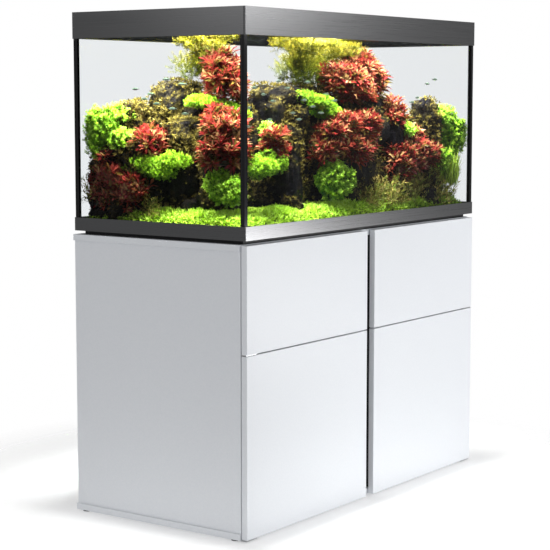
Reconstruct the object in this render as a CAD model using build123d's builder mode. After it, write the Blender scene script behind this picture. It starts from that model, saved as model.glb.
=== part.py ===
"""Aquarium on a cabinet stand: glass tank with a hood, two lids and a lamp, on a cabinet with two drawers and two doors.

Millimetres. +X is to the right, +Y to the back, +Z up. The origin is on the floor, under the middle of the object.
"""

import math
import os

from build123d import *

# ---------------------------------------------------------------- driving sizes
LENGTH = 1130  # trims, top panel and base panel
DEPTH = 556  # front of the doors to the back of the cabinet
HEIGHT = 1300
TRIM_DEPTH = 550

BOARD = 16  # melamine-faced board of the cabinet
GLIDE_HEIGHT = 4
GLIDE_RADIUS = 12
SIDE_REVEAL = 4  # the side panels stand in from the ends of the top panel
DOOR_GAP = 3  # between the fronts, and between a front and the carcass
GRIP_GAP = 36  # finger gap between the left and right fronts
GRIP_DEPTH = 27
CABINET_HEIGHT = 732
SEAM = 463  # height of the gap between a drawer front and the door below it
DOOR_BOTTOM = 6
FRONT_TOP = 730

PLINTH_GAP = 10  # black plinth that shows under the tank
PLINTH_INSET = 20
BASE_TRIM = 34
HOOD_TRIM = 67
TRIM_WALL = 3
GLASS = 8
BOTTOM_GLASS = 10
SEAL = 1  # silicone film between two panes
SEAL_LEG = 3.5  # silicone fillet inside a corner

# ---------------------------------------------------------------- planes that follow from them
HALF = LENGTH / 2
DOOR_FRONT = -DEPTH / 2
DOOR_BACK = DOOR_FRONT + BOARD
CARCASS_FRONT = DOOR_BACK + DOOR_GAP
CARCASS_BACK = DEPTH / 2
SIDE_OUT = HALF - SIDE_REVEAL
SIDE_IN = SIDE_OUT - BOARD
BASE_TOP = GLIDE_HEIGHT + BOARD
TOP_UNDER = CABINET_HEIGHT - BOARD
CHANNEL_HALF = 30  # half width of the grip channel, between the partitions
PARTITION_OUT = CHANNEL_HALF + BOARD
BACK_IN = 262  # inner face of the back panel
SHELF = (454, 470)
SHELF_SETBACK = 2

TRIM_FRONT = DOOR_FRONT + 2
TRIM_BACK = TRIM_FRONT + TRIM_DEPTH
TRIM_MID = (TRIM_FRONT + TRIM_BACK) / 2
TRIM_BOTTOM = CABINET_HEIGHT + PLINTH_GAP
LIP = 4  # thickness of the ledge inside the base trim, level with the top of the plinth
GLASS_BOTTOM = TRIM_BOTTOM + LIP
GLASS_TOP = HEIGHT - 15
HOOD_BOTTOM = HEIGHT - HOOD_TRIM
GLASS_OUT = HALF - TRIM_WALL
GLASS_IN = GLASS_OUT - GLASS
GLASS_FRONT = TRIM_FRONT + TRIM_WALL
GLASS_BACK = TRIM_BACK - TRIM_WALL
WATER_FRONT = GLASS_FRONT + GLASS
WATER_BACK = GLASS_BACK - GLASS
WATER_LEVEL = HOOD_BOTTOM + 3

SIDES = (("left", -1), ("right", 1))

os.makedirs("parts", exist_ok=True)


def save(piece, name):
    """Labels a finished piece and writes it as its own STEP file."""
    piece.part.label = name
    export_step(piece.part, f"parts/{name}.step")


def span(sign, low, high):
    """A range of X on the right of the middle, or its mirror image on the left."""
    return (low, high) if sign > 0 else (-high, -low)


def slab(x, y, z, mode=Mode.ADD):
    """A box between two X, two Y and two Z values, in the builder that is open."""
    with Locations(((x[0] + x[1]) / 2, (y[0] + y[1]) / 2, (z[0] + z[1]) / 2)):
        Box(x[1] - x[0], y[1] - y[0], z[1] - z[0], mode=mode)


# ================================================================ cabinet carcass
with BuildPart() as base_panel:
    slab((-HALF, HALF), (CARCASS_FRONT, CARCASS_BACK), (GLIDE_HEIGHT, BASE_TOP))
save(base_panel, "base_panel")

with BuildPart() as top_panel:
    slab((-HALF, HALF), (CARCASS_FRONT, CARCASS_BACK), (TOP_UNDER, CABINET_HEIGHT))
save(top_panel, "top_panel")

with BuildPart() as floor_glides:
    for x in (-549, -38, 38, 549):
        for y in (CARCASS_FRONT + 24, CARCASS_BACK - 24):
            with Locations((x, y, 0)):
                Cylinder(GLIDE_RADIUS, GLIDE_HEIGHT, align=(Align.CENTER, Align.CENTER, Align.MIN))
save(floor_glides, "floor_glides")

# Cam locks pull the uprights to the top and base panels: blind bores in the faces that look into the compartments.
CAM_RADIUS = 7.5
CAM_DEPTH = 12
CAM_PLACES = [(y, z) for y in (-205, 215) for z in (BASE_TOP + 34, TOP_UNDER - 34)]
CAM_PLAY = 0.1


def cam_plane(x, facing):
    """A plane on an upright's inner face, whose normal looks into the compartment."""
    return Plane(origin=(x, 0, 0), x_dir=(0, 1, 0), z_dir=(facing, 0, 0))


def cam_bores(x, facing):
    """Cuts the blind bores of one upright, seen from the compartment."""
    with BuildSketch(cam_plane(x, facing)) as bores:
        for y, z in CAM_PLACES:
            with Locations((y, z * facing)):
                Circle(CAM_RADIUS)
    extrude(bores.sketch, amount=-CAM_DEPTH, mode=Mode.SUBTRACT)


for side, sign in SIDES:
    with BuildPart() as side_panel:
        slab(span(sign, SIDE_IN, SIDE_OUT), (CARCASS_FRONT, CARCASS_BACK - 2), (BASE_TOP, TOP_UNDER))
        cam_bores(sign * SIDE_IN, -sign)
    save(side_panel, f"{side}_side_panel")

    with BuildPart() as partition:
        slab(span(sign, CHANNEL_HALF, PARTITION_OUT), (CARCASS_FRONT, BACK_IN), (BASE_TOP, TOP_UNDER))
        cam_bores(sign * PARTITION_OUT, sign)
    save(partition, f"{side}_partition")

with BuildPart() as cam_locks:
    for _, sign in SIDES:
        for x, facing in ((sign * SIDE_IN, -sign), (sign * PARTITION_OUT, sign)):
            with BuildSketch(cam_plane(x, facing)):
                for y, z in CAM_PLACES:
                    with Locations((y, z * facing)):
                        Circle(CAM_RADIUS - CAM_PLAY)
            extrude(amount=-CAM_DEPTH)
            with BuildSketch(cam_plane(x, facing)):
                for y, z in CAM_PLACES:
                    with Locations((y, z * facing)):
                        Rectangle(9, 1.6)
                        Rectangle(1.6, 9)
            extrude(amount=-2, mode=Mode.SUBTRACT)
save(cam_locks, "cam_locks")

for side, sign in SIDES:
    with BuildPart() as shelf:
        slab(span(sign, PARTITION_OUT, SIDE_IN), (CARCASS_FRONT + SHELF_SETBACK, BACK_IN), SHELF)
    save(shelf, f"{side}_shelf")

HOSE_CUTOUT = (110, 80)  # for hoses and leads, behind each cupboard
HOSE_PLACE = (440, 385)
with BuildPart() as back_panel:
    slab((-SIDE_IN, SIDE_IN), (BACK_IN, BACK_IN + 8), (BASE_TOP, TOP_UNDER))
    with BuildSketch(Plane.XZ.offset(-BACK_IN)):
        with Locations((-HOSE_PLACE[0], HOSE_PLACE[1]), HOSE_PLACE):
            RectangleRounded(*HOSE_CUTOUT, radius=20)
    extrude(amount=-8, mode=Mode.SUBTRACT)
save(back_panel, "back_panel")

CHANNEL_WALL = 1.5
with BuildPart() as grip_channel:
    front, back = CARCASS_FRONT + 2, CARCASS_FRONT + GRIP_DEPTH
    slab((-CHANNEL_HALF, CHANNEL_HALF), (front, back), (BASE_TOP, TOP_UNDER))
    inner = CHANNEL_HALF - CHANNEL_WALL
    slab((-inner, inner), (front, back - CHANNEL_WALL), (BASE_TOP, TOP_UNDER), Mode.SUBTRACT)
save(grip_channel, "grip_channel")

# ================================================================ drawers on three-part runners
RAIL_LENGTH = 445
RAIL_Z = 574
RAIL_WALL = 1.5
RAIL_THICK = 13  # cabinet side to drawer side
DRAWER_OUT = SIDE_IN - RAIL_THICK
DRAWER_IN = PARTITION_OUT + RAIL_THICK
DRAWER_WALL = 15
DRAWER_Z = (484, 664)
DRAWER_BACK = 190
DRAWER_FLOOR = (490, 496)
FLOOR_GROOVE = 6


def rail(wall_x, towards, start, end, height):
    """One C-section of a runner: its web lies between start and start + wall from the cabinet side, its lips reach to end."""
    front = CARCASS_FRONT + 2
    length = (front, front + RAIL_LENGTH)
    web = sorted((wall_x + towards * start, wall_x + towards * (start + RAIL_WALL)))
    lips = sorted((wall_x + towards * start, wall_x + towards * end))
    slab(web, length, (RAIL_Z - height / 2, RAIL_Z + height / 2))
    for edge in (-1, 1):
        outer = RAIL_Z + edge * height / 2
        slab(lips, length, sorted((outer, outer - edge * RAIL_WALL)))


def both_walls(sign):
    """The two cabinet faces that carry one drawer's runners, with the way towards the drawer."""
    return ((sign * SIDE_IN, -sign), (sign * PARTITION_OUT, sign))


with BuildPart() as outer_rails:
    for _, sign in SIDES:
        for wall_x, towards in both_walls(sign):
            rail(wall_x, towards, 0, 11, 45)
save(outer_rails, "outer_rails")

for side, sign in SIDES:
    with BuildPart() as middle_rails:
        for wall_x, towards in both_walls(sign):
            rail(wall_x, towards, 4, 11.5, 38)
    save(middle_rails, f"{side}_middle_rails")

    with BuildPart() as inner_rails:
        for wall_x, towards in both_walls(sign):
            rail(wall_x + towards * RAIL_THICK, -towards, 0, 6, 30)
    save(inner_rails, f"{side}_inner_rails")

    with BuildPart() as drawer_front:
        slab(span(sign, GRIP_GAP / 2, SIDE_OUT), (DOOR_FRONT, DOOR_BACK), (SEAM + DOOR_GAP / 2, FRONT_TOP))
        fillet(drawer_front.faces().sort_by(Axis.Y)[0].edges(), 1)
    save(drawer_front, f"{side}_drawer_front")

    with BuildPart() as drawer_sides:
        slab(span(sign, DRAWER_OUT - DRAWER_WALL, DRAWER_OUT), (DOOR_BACK, DRAWER_BACK), DRAWER_Z)
        slab(span(sign, DRAWER_IN, DRAWER_IN + DRAWER_WALL), (DOOR_BACK, DRAWER_BACK), DRAWER_Z)
        groove = (DRAWER_FLOOR[0] - 0.1, DRAWER_FLOOR[1] + 0.1)
        reach = span(sign, DRAWER_IN + DRAWER_WALL - FLOOR_GROOVE, DRAWER_OUT - DRAWER_WALL + FLOOR_GROOVE)
        slab(reach, (DOOR_BACK, DRAWER_BACK), groove, Mode.SUBTRACT)
    save(drawer_sides, f"{side}_drawer_sides")

    with BuildPart() as drawer_back:
        slab(span(sign, DRAWER_IN + DRAWER_WALL, DRAWER_OUT - DRAWER_WALL),
             (DRAWER_BACK - DRAWER_WALL, DRAWER_BACK), (DRAWER_FLOOR[1], DRAWER_Z[1]))
    save(drawer_back, f"{side}_drawer_back")

    with BuildPart() as drawer_floor:
        fit = FLOOR_GROOVE - 0.2
        slab(span(sign, DRAWER_IN + DRAWER_WALL - fit, DRAWER_OUT - DRAWER_WALL + fit),
             (DOOR_BACK, DRAWER_BACK), DRAWER_FLOOR)
    save(drawer_floor, f"{side}_drawer_floor")

# ================================================================ doors on pivot hinges
PIVOT = (SIDE_OUT - 5, (DOOR_FRONT + DOOR_BACK) / 2)  # X and Y of a door's axis
PIN_RADIUS = 2
PIN_LENGTH = 12
PIN_PLAY = 0.1
LEAF = 2  # thickness of the leaf let into the door's top and bottom edges
LEAF_X = (SIDE_OUT - 55, SIDE_OUT - 1.5)
LEAF_HALF = 5.5
BRACKET = 1.6
DOOR_TOP = SEAM - DOOR_GAP / 2
UPPER_BRACKET = (SEAM - BRACKET / 2, SEAM + BRACKET / 2)
LOWER_BRACKET = (GLIDE_HEIGHT - BRACKET, GLIDE_HEIGHT)
BRACKET_X = (SIDE_IN - 50, SIDE_IN - 1)
SCREW_X = (SIDE_IN - 40, SIDE_IN - 14)
SCREW_RADIUS = 3
SCREW_HEAD = 1.4

for side, sign in SIDES:
    with BuildPart() as door:
        slab(span(sign, GRIP_GAP / 2, SIDE_OUT), (DOOR_FRONT, DOOR_BACK), (DOOR_BOTTOM, DOOR_TOP))
        fillet(door.faces().sort_by(Axis.Y)[0].edges(), 1)
        leaf_y = (PIVOT[1] - LEAF_HALF, PIVOT[1] + LEAF_HALF)
        for edge, inward in ((DOOR_BOTTOM, 1), (DOOR_TOP, -1)):
            slab(span(sign, *LEAF_X), leaf_y, sorted((edge, edge + inward * LEAF)), Mode.SUBTRACT)
            with Locations((sign * PIVOT[0], PIVOT[1], edge + inward * (PIN_LENGTH + 1) / 2)):
                Cylinder(PIN_RADIUS + 0.6, PIN_LENGTH + 1, mode=Mode.SUBTRACT)
    save(door, f"{side}_door")

    with BuildPart() as pivot_leaves:
        for edge, inward in ((DOOR_BOTTOM, 1), (DOOR_TOP, -1)):
            slab(span(sign, *LEAF_X), leaf_y, sorted((edge, edge + inward * LEAF)))
            with Locations((sign * PIVOT[0], PIVOT[1], edge + inward * LEAF / 2)):
                Cylinder(PIN_RADIUS + PIN_PLAY, LEAF, mode=Mode.SUBTRACT)
    save(pivot_leaves, f"{side}_pivot_leaves")

with BuildPart() as pivot_brackets:
    for _, sign in SIDES:
        arm_y = (PIVOT[1] - 5, CARCASS_FRONT - 0.3)
        shelf_front = CARCASS_FRONT + SHELF_SETBACK
        slab(span(sign, BRACKET_X[0] + 20, PIVOT[0] + 4), arm_y, UPPER_BRACKET)
        slab(span(sign, *BRACKET_X), (arm_y[1] - 1, shelf_front), UPPER_BRACKET)
        slab(span(sign, *BRACKET_X), (shelf_front - BRACKET, shelf_front), (UPPER_BRACKET[0] - 7, SHELF[1]))
        with Locations((sign * PIVOT[0], PIVOT[1], UPPER_BRACKET[0] - PIN_LENGTH / 2)):
            Cylinder(PIN_RADIUS, PIN_LENGTH)
        slab(span(sign, BRACKET_X[0] + 20, PIVOT[0] + 4), (arm_y[0], CARCASS_FRONT + 12), LOWER_BRACKET)
        slab(span(sign, *BRACKET_X), (CARCASS_FRONT + 2, CARCASS_FRONT + 12), LOWER_BRACKET)
        with Locations((sign * PIVOT[0], PIVOT[1], LOWER_BRACKET[1] + PIN_LENGTH / 2)):
            Cylinder(PIN_RADIUS, PIN_LENGTH)
save(pivot_brackets, "pivot_brackets")

with BuildPart() as pivot_screws:
    for _, sign in SIDES:
        for x in SCREW_X:
            with BuildSketch(Plane.XY.offset(LOWER_BRACKET[0])) as head:
                with Locations((sign * x, CARCASS_FRONT + 7)):
                    Circle(SCREW_RADIUS)
                    Rectangle(4.4, 0.8, mode=Mode.SUBTRACT)
                    Rectangle(0.8, 4.4, mode=Mode.SUBTRACT)
            extrude(amount=-SCREW_HEAD)
            with BuildSketch(Plane.XZ.offset(BRACKET - CARCASS_FRONT - SHELF_SETBACK)) as head:
                with Locations((sign * x, UPPER_BRACKET[0] - 3.5)):
                    Circle(SCREW_RADIUS)
                    Rectangle(4.4, 0.8, mode=Mode.SUBTRACT)
                    Rectangle(0.8, 4.4, mode=Mode.SUBTRACT)
            extrude(amount=SCREW_HEAD)
save(pivot_screws, "pivot_screws")

# ================================================================ plinth and base trim under the tank
with BuildPart() as tank_plinth:
    slab((-HALF + PLINTH_INSET, HALF - PLINTH_INSET),
         (TRIM_FRONT + PLINTH_INSET, TRIM_BACK - PLINTH_INSET), (CABINET_HEIGHT, GLASS_BOTTOM))
save(tank_plinth, "tank_plinth")

TRIM_CORNER = 4  # rounding of the trims' upright corners


def trim_frame(low, high, ledge, ledge_width):
    """A moulded frame: an upright wall round the tank with a ledge on its inside, between two heights."""
    middle = (0, TRIM_MID)
    with BuildSketch(Plane.XY.offset(low)) as wall:
        with Locations(middle):
            RectangleRounded(LENGTH, TRIM_DEPTH, radius=TRIM_CORNER)
            Rectangle(LENGTH - 2 * TRIM_WALL, TRIM_DEPTH - 2 * TRIM_WALL, mode=Mode.SUBTRACT)
    extrude(wall.sketch, amount=high - low)
    with BuildSketch(Plane.XY.offset(ledge[0])) as shelf_ring:
        with Locations(middle):
            Rectangle(LENGTH - 2 * TRIM_WALL, TRIM_DEPTH - 2 * TRIM_WALL)
            Rectangle(LENGTH - 2 * ledge_width, TRIM_DEPTH - 2 * ledge_width, mode=Mode.SUBTRACT)
    extrude(shelf_ring.sketch, amount=ledge[1] - ledge[0])


HOOD_LEDGE = (GLASS_TOP, GLASS_TOP + 3)
HOOD_LEDGE_WIDTH = 24
with BuildPart() as base_trim:
    trim_frame(TRIM_BOTTOM, TRIM_BOTTOM + BASE_TRIM, (TRIM_BOTTOM, GLASS_BOTTOM), PLINTH_INSET)
save(base_trim, "base_trim")

with BuildPart() as hood_trim:
    trim_frame(HOOD_BOTTOM, HEIGHT, HOOD_LEDGE, HOOD_LEDGE_WIDTH)
save(hood_trim, "hood_trim")

# ================================================================ glass
FLOOR_TOP = GLASS_BOTTOM + BOTTOM_GLASS
with BuildPart() as bottom_pane:
    slab((-GLASS_IN + SEAL, GLASS_IN - SEAL), (WATER_FRONT + SEAL, WATER_BACK - SEAL), (GLASS_BOTTOM, FLOOR_TOP))
save(bottom_pane, "bottom_pane")

for name, y in (("front_pane", (GLASS_FRONT, WATER_FRONT)), ("back_pane", (WATER_BACK, GLASS_BACK))):
    with BuildPart() as long_pane:
        slab((-GLASS_OUT, GLASS_OUT), y, (GLASS_BOTTOM, GLASS_TOP))
    save(long_pane, name)

for side, sign in SIDES:
    with BuildPart() as end_pane:
        slab(span(sign, GLASS_IN, GLASS_OUT), (WATER_FRONT + SEAL, WATER_BACK - SEAL), (GLASS_BOTTOM, GLASS_TOP))
    save(end_pane, f"{side}_pane")

with BuildPart() as silicone_seams:
    slab((-GLASS_IN, GLASS_IN), (WATER_FRONT, WATER_BACK), (GLASS_BOTTOM, FLOOR_TOP))
    slab((-GLASS_IN + SEAL, GLASS_IN - SEAL), (WATER_FRONT + SEAL, WATER_BACK - SEAL),
         (GLASS_BOTTOM, FLOOR_TOP), Mode.SUBTRACT)
    with BuildSketch(Plane.XY.offset(FLOOR_TOP)):
        for _, sign in SIDES:
            for wall, inward in ((WATER_FRONT, 1), (WATER_BACK, -1)):
                Polygon((sign * GLASS_OUT, wall), (sign * (GLASS_IN - SEAL_LEG), wall),
                        (sign * GLASS_IN, wall + inward * (SEAL + SEAL_LEG)),
                        (sign * GLASS_IN, wall + inward * SEAL), (sign * GLASS_OUT, wall + inward * SEAL),
                        align=None)
    extrude(amount=GLASS_TOP - FLOOR_TOP)
save(silicone_seams, "silicone_seams")

BRACE_HALF = 60
with BuildPart() as centre_brace:
    slab((-BRACE_HALF, BRACE_HALF), (WATER_FRONT, WATER_BACK), (WATER_LEVEL + 10, WATER_LEVEL + 18))
    fillet(centre_brace.edges().filter_by(Axis.Z), 3)
save(centre_brace, "centre_brace")

# ================================================================ rear cover, lids and their pins
COVER_FRONT = 202
LID_PIN = (200, HOOD_LEDGE[1] + 5.2)  # Y and Z of the lids' axis
LID_PIN_RADIUS = 2
BARREL_RADIUS = 4.6
LID_HINGES = (110, 460)  # X of each hinge on a lid
LID_PLATE = (HOOD_LEDGE[1] + 0.3, HOOD_LEDGE[1] + 4.3)
COVER_PLATE = (HOOD_LEDGE[1], HOOD_LEDGE[1] + 4)
LID_BARREL = 40
COVER_BARREL = 18
BARREL_PLAY = 0.5
BARREL_POCKET = 6  # depth of the pockets that let one plate clear the other's barrels, from the axis


def barrel(x, length, web_y, plate):
    """A hinge barrel round the lids' axis, with the web that joins it to a plate's edge, and its bore."""
    slab((x - length / 2, x + length / 2), sorted((LID_PIN[0], web_y)), plate)
    with BuildSketch(Plane.YZ.offset(x - length / 2)) as outside:
        with Locations(LID_PIN):
            Circle(BARREL_RADIUS)
    extrude(outside.sketch, amount=length)
    with BuildSketch(Plane.YZ.offset(x - length / 2)) as bore:
        with Locations(LID_PIN):
            Circle(LID_PIN_RADIUS + 0.1)
    extrude(bore.sketch, amount=length, mode=Mode.SUBTRACT)


BARREL_SHIFT = (LID_BARREL + COVER_BARREL) / 2 + BARREL_PLAY
CABLE_CUTOUT = (70, 26)
CABLE_PLACE = (380, 230)  # X and Y, clear of the hinges
with BuildPart() as rear_cover:
    edge = HALF - TRIM_WALL - 1
    slab((-edge, edge), (COVER_FRONT, TRIM_BACK - TRIM_WALL - 1), COVER_PLATE)
    with BuildSketch(Plane.XY.offset(COVER_PLATE[0])):
        for _, sign in SIDES:
            with Locations((sign * CABLE_PLACE[0], CABLE_PLACE[1])):
                RectangleRounded(*CABLE_CUTOUT, radius=8)
    extrude(amount=COVER_PLATE[1] - COVER_PLATE[0], mode=Mode.SUBTRACT)
    for _, sign in SIDES:
        for x in LID_HINGES:
            pocket = LID_BARREL / 2 + BARREL_PLAY
            slab((sign * x - pocket, sign * x + pocket), (COVER_FRONT, LID_PIN[0] + BARREL_POCKET), COVER_PLATE,
                 Mode.SUBTRACT)
            for shift in (-BARREL_SHIFT, BARREL_SHIFT):
                barrel(sign * x + shift, COVER_BARREL, COVER_FRONT + 1, COVER_PLATE)
save(rear_cover, "rear_cover")

with BuildPart() as lid_pins:
    for _, sign in SIDES:
        for x in LID_HINGES:
            with BuildSketch(Plane.YZ.offset(sign * x - BARREL_SHIFT - COVER_BARREL / 2)):
                with Locations(LID_PIN):
                    Circle(LID_PIN_RADIUS)
            extrude(amount=2 * BARREL_SHIFT + COVER_BARREL)
save(lid_pins, "lid_pins")

LID_NOTCH = (100, 84)  # finger notch: half of it lies outside the lid's front edge
LID_NOTCH_X = 280
for side, sign in SIDES:
    with BuildPart() as lid:
        front = TRIM_FRONT + TRIM_WALL + 1
        back = LID_PIN[0] - 2
        slab(span(sign, 1, HALF - TRIM_WALL - 1), (front, back), LID_PLATE)
        with BuildSketch(Plane.XY.offset(LID_PLATE[0])):
            with Locations((sign * LID_NOTCH_X, front)):
                RectangleRounded(*LID_NOTCH, radius=18)
        extrude(amount=LID_PLATE[1] - LID_PLATE[0], mode=Mode.SUBTRACT)
        for x in LID_HINGES:
            pocket = COVER_BARREL / 2 + BARREL_PLAY
            for middle in (sign * x - BARREL_SHIFT, sign * x + BARREL_SHIFT):
                slab((middle - pocket, middle + pocket), (LID_PIN[0] - BARREL_POCKET, back), LID_PLATE,
                     Mode.SUBTRACT)
            barrel(sign * x, LID_BARREL, back - 1, LID_PLATE)
    save(lid, f"{side}_lid")

# ================================================================ lamp under the lids
LAMP_HALF = 505
LAMP_Y = (-45, 25)
LAMP_Z = (1265, 1281)
LAMP_WALL = 2
with BuildPart() as lamp_housing:
    slab((-LAMP_HALF, LAMP_HALF), LAMP_Y, LAMP_Z)
    fillet(lamp_housing.edges().filter_by(Axis.X).group_by(Axis.Z)[-1], 4)
    slab((-LAMP_HALF + 4, LAMP_HALF - 4), (LAMP_Y[0] + LAMP_WALL, LAMP_Y[1] - LAMP_WALL),
         (LAMP_Z[0], LAMP_Z[0] + 10), Mode.SUBTRACT)
save(lamp_housing, "lamp_housing")

with BuildPart() as lamp_diffuser:
    slab((-LAMP_HALF + 4, LAMP_HALF - 4), (LAMP_Y[0] + LAMP_WALL, LAMP_Y[1] - LAMP_WALL),
         (LAMP_Z[0] + 6, LAMP_Z[0] + 9))
save(lamp_diffuser, "lamp_diffuser")

with BuildPart() as lamp_brackets:
    for _, sign in SIDES:
        slab(span(sign, LAMP_HALF - 25, GLASS_IN - 1), (-30, 10), (LAMP_Z[1], GLASS_TOP))
save(lamp_brackets, "lamp_brackets")

# ================================================================ planted ground and rocks
GRAVEL_TOP = FLOOR_TOP + 22
LAWN_TOP = GRAVEL_TOP + 12
BED_CLEARANCE = 4.6  # keeps the bed off the silicone in the corners

with BuildPart() as gravel_bed:
    bed_x = (-GLASS_IN + BED_CLEARANCE, GLASS_IN - BED_CLEARANCE)
    bed_y = (WATER_FRONT + BED_CLEARANCE, WATER_BACK - BED_CLEARANCE)
    slab(bed_x, bed_y, (FLOOR_TOP, GRAVEL_TOP))
save(gravel_bed, "gravel_bed")

# Each rock: X, Y, top, half length, half width, turn in degrees.
ROCKS = (
    (-360, 100, 1128, 84, 80, 10),
    (-452, 165, 1075, 46, 48, 40),
    (-185, -95, 1118, 92, 74, -12),
    (-412, 20, 1030, 56, 62, 25),
    (225, -115, 1098, 84, 66, 20),
    (425, -185, 1082, 44, 40, -30),
    (30, -40, 1118, 110, 84, 8),
    (-290, -50, 1050, 80, 74, -20),
    (100, -150, 950, 110, 58, -6),
    (330, -150, 930, 100, 60, 12),
)
ROCK_LEVELS = ((0, 0.92), (0.55, 1.0), (0.85, 0.72), (1, 0.34))
CLUMP_LEVELS = ((0, 0.45), (0.25, 0.9), (0.55, 1.0), (0.85, 0.75), (1, 0.35))


def facets(x, y, low, high, half_length, half_width, turn, sides, unevenness, levels):
    """A faceted closed lump: one uneven polygon at several heights, at a share of its full size each time, so that
    every facet is flat."""
    sections = []
    for level, share in levels:
        points = []
        for i in range(sides):
            angle = 2 * math.pi * i / sides + math.radians(turn)
            reach = share * (1 + unevenness * math.sin(2.3 * i + turn))
            points.append((x + half_length * reach * math.cos(angle), y + half_width * reach * math.sin(angle)))
        with BuildSketch(Plane.XY.offset(low + level * (high - low))) as section:
            Polygon(*points, align=None)
        sections.append(section.sketch)
    loft(sections, ruled=True)


with BuildPart() as rocks:
    for x, y, top, half_length, half_width, turn in ROCKS:
        facets(x, y, GRAVEL_TOP, top, half_length, half_width, turn, 7, 0.1, ROCK_LEVELS)
save(rocks, "rocks")

with BuildPart() as lawn:
    slab(bed_x, bed_y, (GRAVEL_TOP, LAWN_TOP))
    add(rocks.part, mode=Mode.SUBTRACT)
save(lawn, "lawn")


# ================================================================ plants and fish
# Each clump: X, Y, lowest and highest point, radius.
STEM_PLANTS = (
    (-330, 25, 1110, WATER_LEVEL, 78),
    (20, -40, 1110, WATER_LEVEL, 92),
)
RED_PLANTS = (
    (135, -135, 1085, 1185, 80),
    (-395, -90, 1085, 1185, 48),
    (10, -185, 905, 1035, 52),
    (-455, -130, 930, 1045, 46),
    (320, -190, 850, 985, 48),
    (-490, 190, 800, 935, 52),
)
GREEN_BUSHES = (
    (-485, 200, 948, 1070, 52),
    (502, -200, 792, 1045, 42),
    (-75, -205, 792, 905, 42),
    (-475, -150, 792, 905, 44),
    (-482, 83, 870, 940, 56),
)

grown = [rocks.part]
for name, clumps in (("stem_plants", STEM_PLANTS), ("red_plants", RED_PLANTS), ("green_bushes", GREEN_BUSHES)):
    with BuildPart() as plants:
        for x, y, low, high, radius in clumps:
            facets(x, y, low, high, radius, radius, x, 9, 0.06, CLUMP_LEVELS)
        add(grown, mode=Mode.SUBTRACT)
    grown.append(plants.part)
    save(plants, name)

FISH_LENGTH = 26
FISH_RADIUS = 3.4
FISH_IN_FRONT = 16
FISH_AT_RIGHT = 4
FISH_AT_LEFT = 8


def spread(index, step, low, high):
    """An evenly scattered value between two limits for the fish with this index."""
    return low + (high - low) * (index * step % 1)


def one_fish(x, y, z, heading):
    """A faceted spindle as long as the fish, lying along its heading."""
    ahead = Vector(math.cos(math.radians(heading)), math.sin(math.radians(heading)), 0)
    sections = []
    for along, share in ((-0.5, 0.2), (-0.15, 0.95), (0.15, 0.95), (0.5, 0.2)):
        middle = Vector(x, y, z) + ahead * (along * FISH_LENGTH)
        with BuildSketch(Plane(origin=middle, x_dir=ahead.cross(Vector(0, 0, 1)), z_dir=ahead)) as section:
            RegularPolygon(FISH_RADIUS * share, 6)
        sections.append(section.sketch)
    loft(sections, ruled=True)


with BuildPart() as fish:
    for i in range(FISH_IN_FRONT):
        one_fish(spread(i, 0.618, -520, -120), spread(i, 0.755, -252, -244), spread(i, 0.57, 1015, 1125),
                 spread(i, 0.382, -8, 8))
    for i in range(FISH_AT_RIGHT):
        one_fish(spread(i, 0.618, 250, 400), spread(i, 0.755, -252, -244), spread(i, 0.57, 1070, 1160),
                 spread(i, 0.382, -8, 8))
    for i in range(FISH_AT_LEFT):
        one_fish(spread(i, 0.755, -545, -532), spread(i, 0.618, -80, 110), spread(i, 0.57, 1045, 1130),
                 90 + spread(i, 0.382, -8, 8))
save(fish, "fish")
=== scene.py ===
import math
import random

import bmesh
import bpy
from mathutils import Matrix, Vector, noise


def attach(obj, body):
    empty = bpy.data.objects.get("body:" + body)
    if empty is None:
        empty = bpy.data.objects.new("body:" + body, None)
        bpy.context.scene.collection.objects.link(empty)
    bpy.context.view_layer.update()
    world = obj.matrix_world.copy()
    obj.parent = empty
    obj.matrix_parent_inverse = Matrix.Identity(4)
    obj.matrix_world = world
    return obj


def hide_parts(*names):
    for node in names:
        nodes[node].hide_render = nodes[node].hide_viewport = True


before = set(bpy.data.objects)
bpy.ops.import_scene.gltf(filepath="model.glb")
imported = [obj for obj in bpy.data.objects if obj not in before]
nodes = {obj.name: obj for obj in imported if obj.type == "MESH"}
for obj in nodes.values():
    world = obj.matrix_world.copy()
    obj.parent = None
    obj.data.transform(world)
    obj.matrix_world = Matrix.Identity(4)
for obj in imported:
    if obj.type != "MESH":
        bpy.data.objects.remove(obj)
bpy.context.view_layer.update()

bpy.context.scene.view_settings.view_transform = "Standard"
ROOT = "cabinet_and_tank"
SIDES = ("left", "right")


# ---------------------------------------------------------------- cabinet boards
# Sixteen-millimetre chipboard with a cool white melamine facing, cut square and edged in the same white.
# The facing has a very fine dimple and an uneven satin, and its slightly rounded edges catch a line of light.
def shader_material(name, roughness, metallic=0.0, specular=0.5):
    """A material with one Principled shader. Returns the material, its node tree and the shader."""
    material = bpy.data.materials.new(name)
    material.use_nodes = True
    tree = material.node_tree
    shader = tree.nodes["Principled BSDF"]
    shader.inputs["Roughness"].default_value = roughness
    shader.inputs["Metallic"].default_value = metallic
    shader.inputs["Specular IOR Level"].default_value = specular
    return material, tree, shader


def noise_value(tree, scale, detail=3.0, stretch=(1, 1, 1), rough=0.5):
    """Noise in the object's own coordinates, stretched along an axis if asked."""
    place = tree.nodes.new("ShaderNodeTexCoord")
    mapping = tree.nodes.new("ShaderNodeMapping")
    mapping.inputs["Scale"].default_value = stretch
    texture = tree.nodes.new("ShaderNodeTexNoise")
    texture.inputs["Scale"].default_value = scale
    texture.inputs["Detail"].default_value = detail
    texture.inputs["Roughness"].default_value = rough
    tree.links.new(place.outputs["Object"], mapping.inputs["Vector"])
    tree.links.new(mapping.outputs["Vector"], texture.inputs["Vector"])
    return texture.outputs["Fac"]


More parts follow.
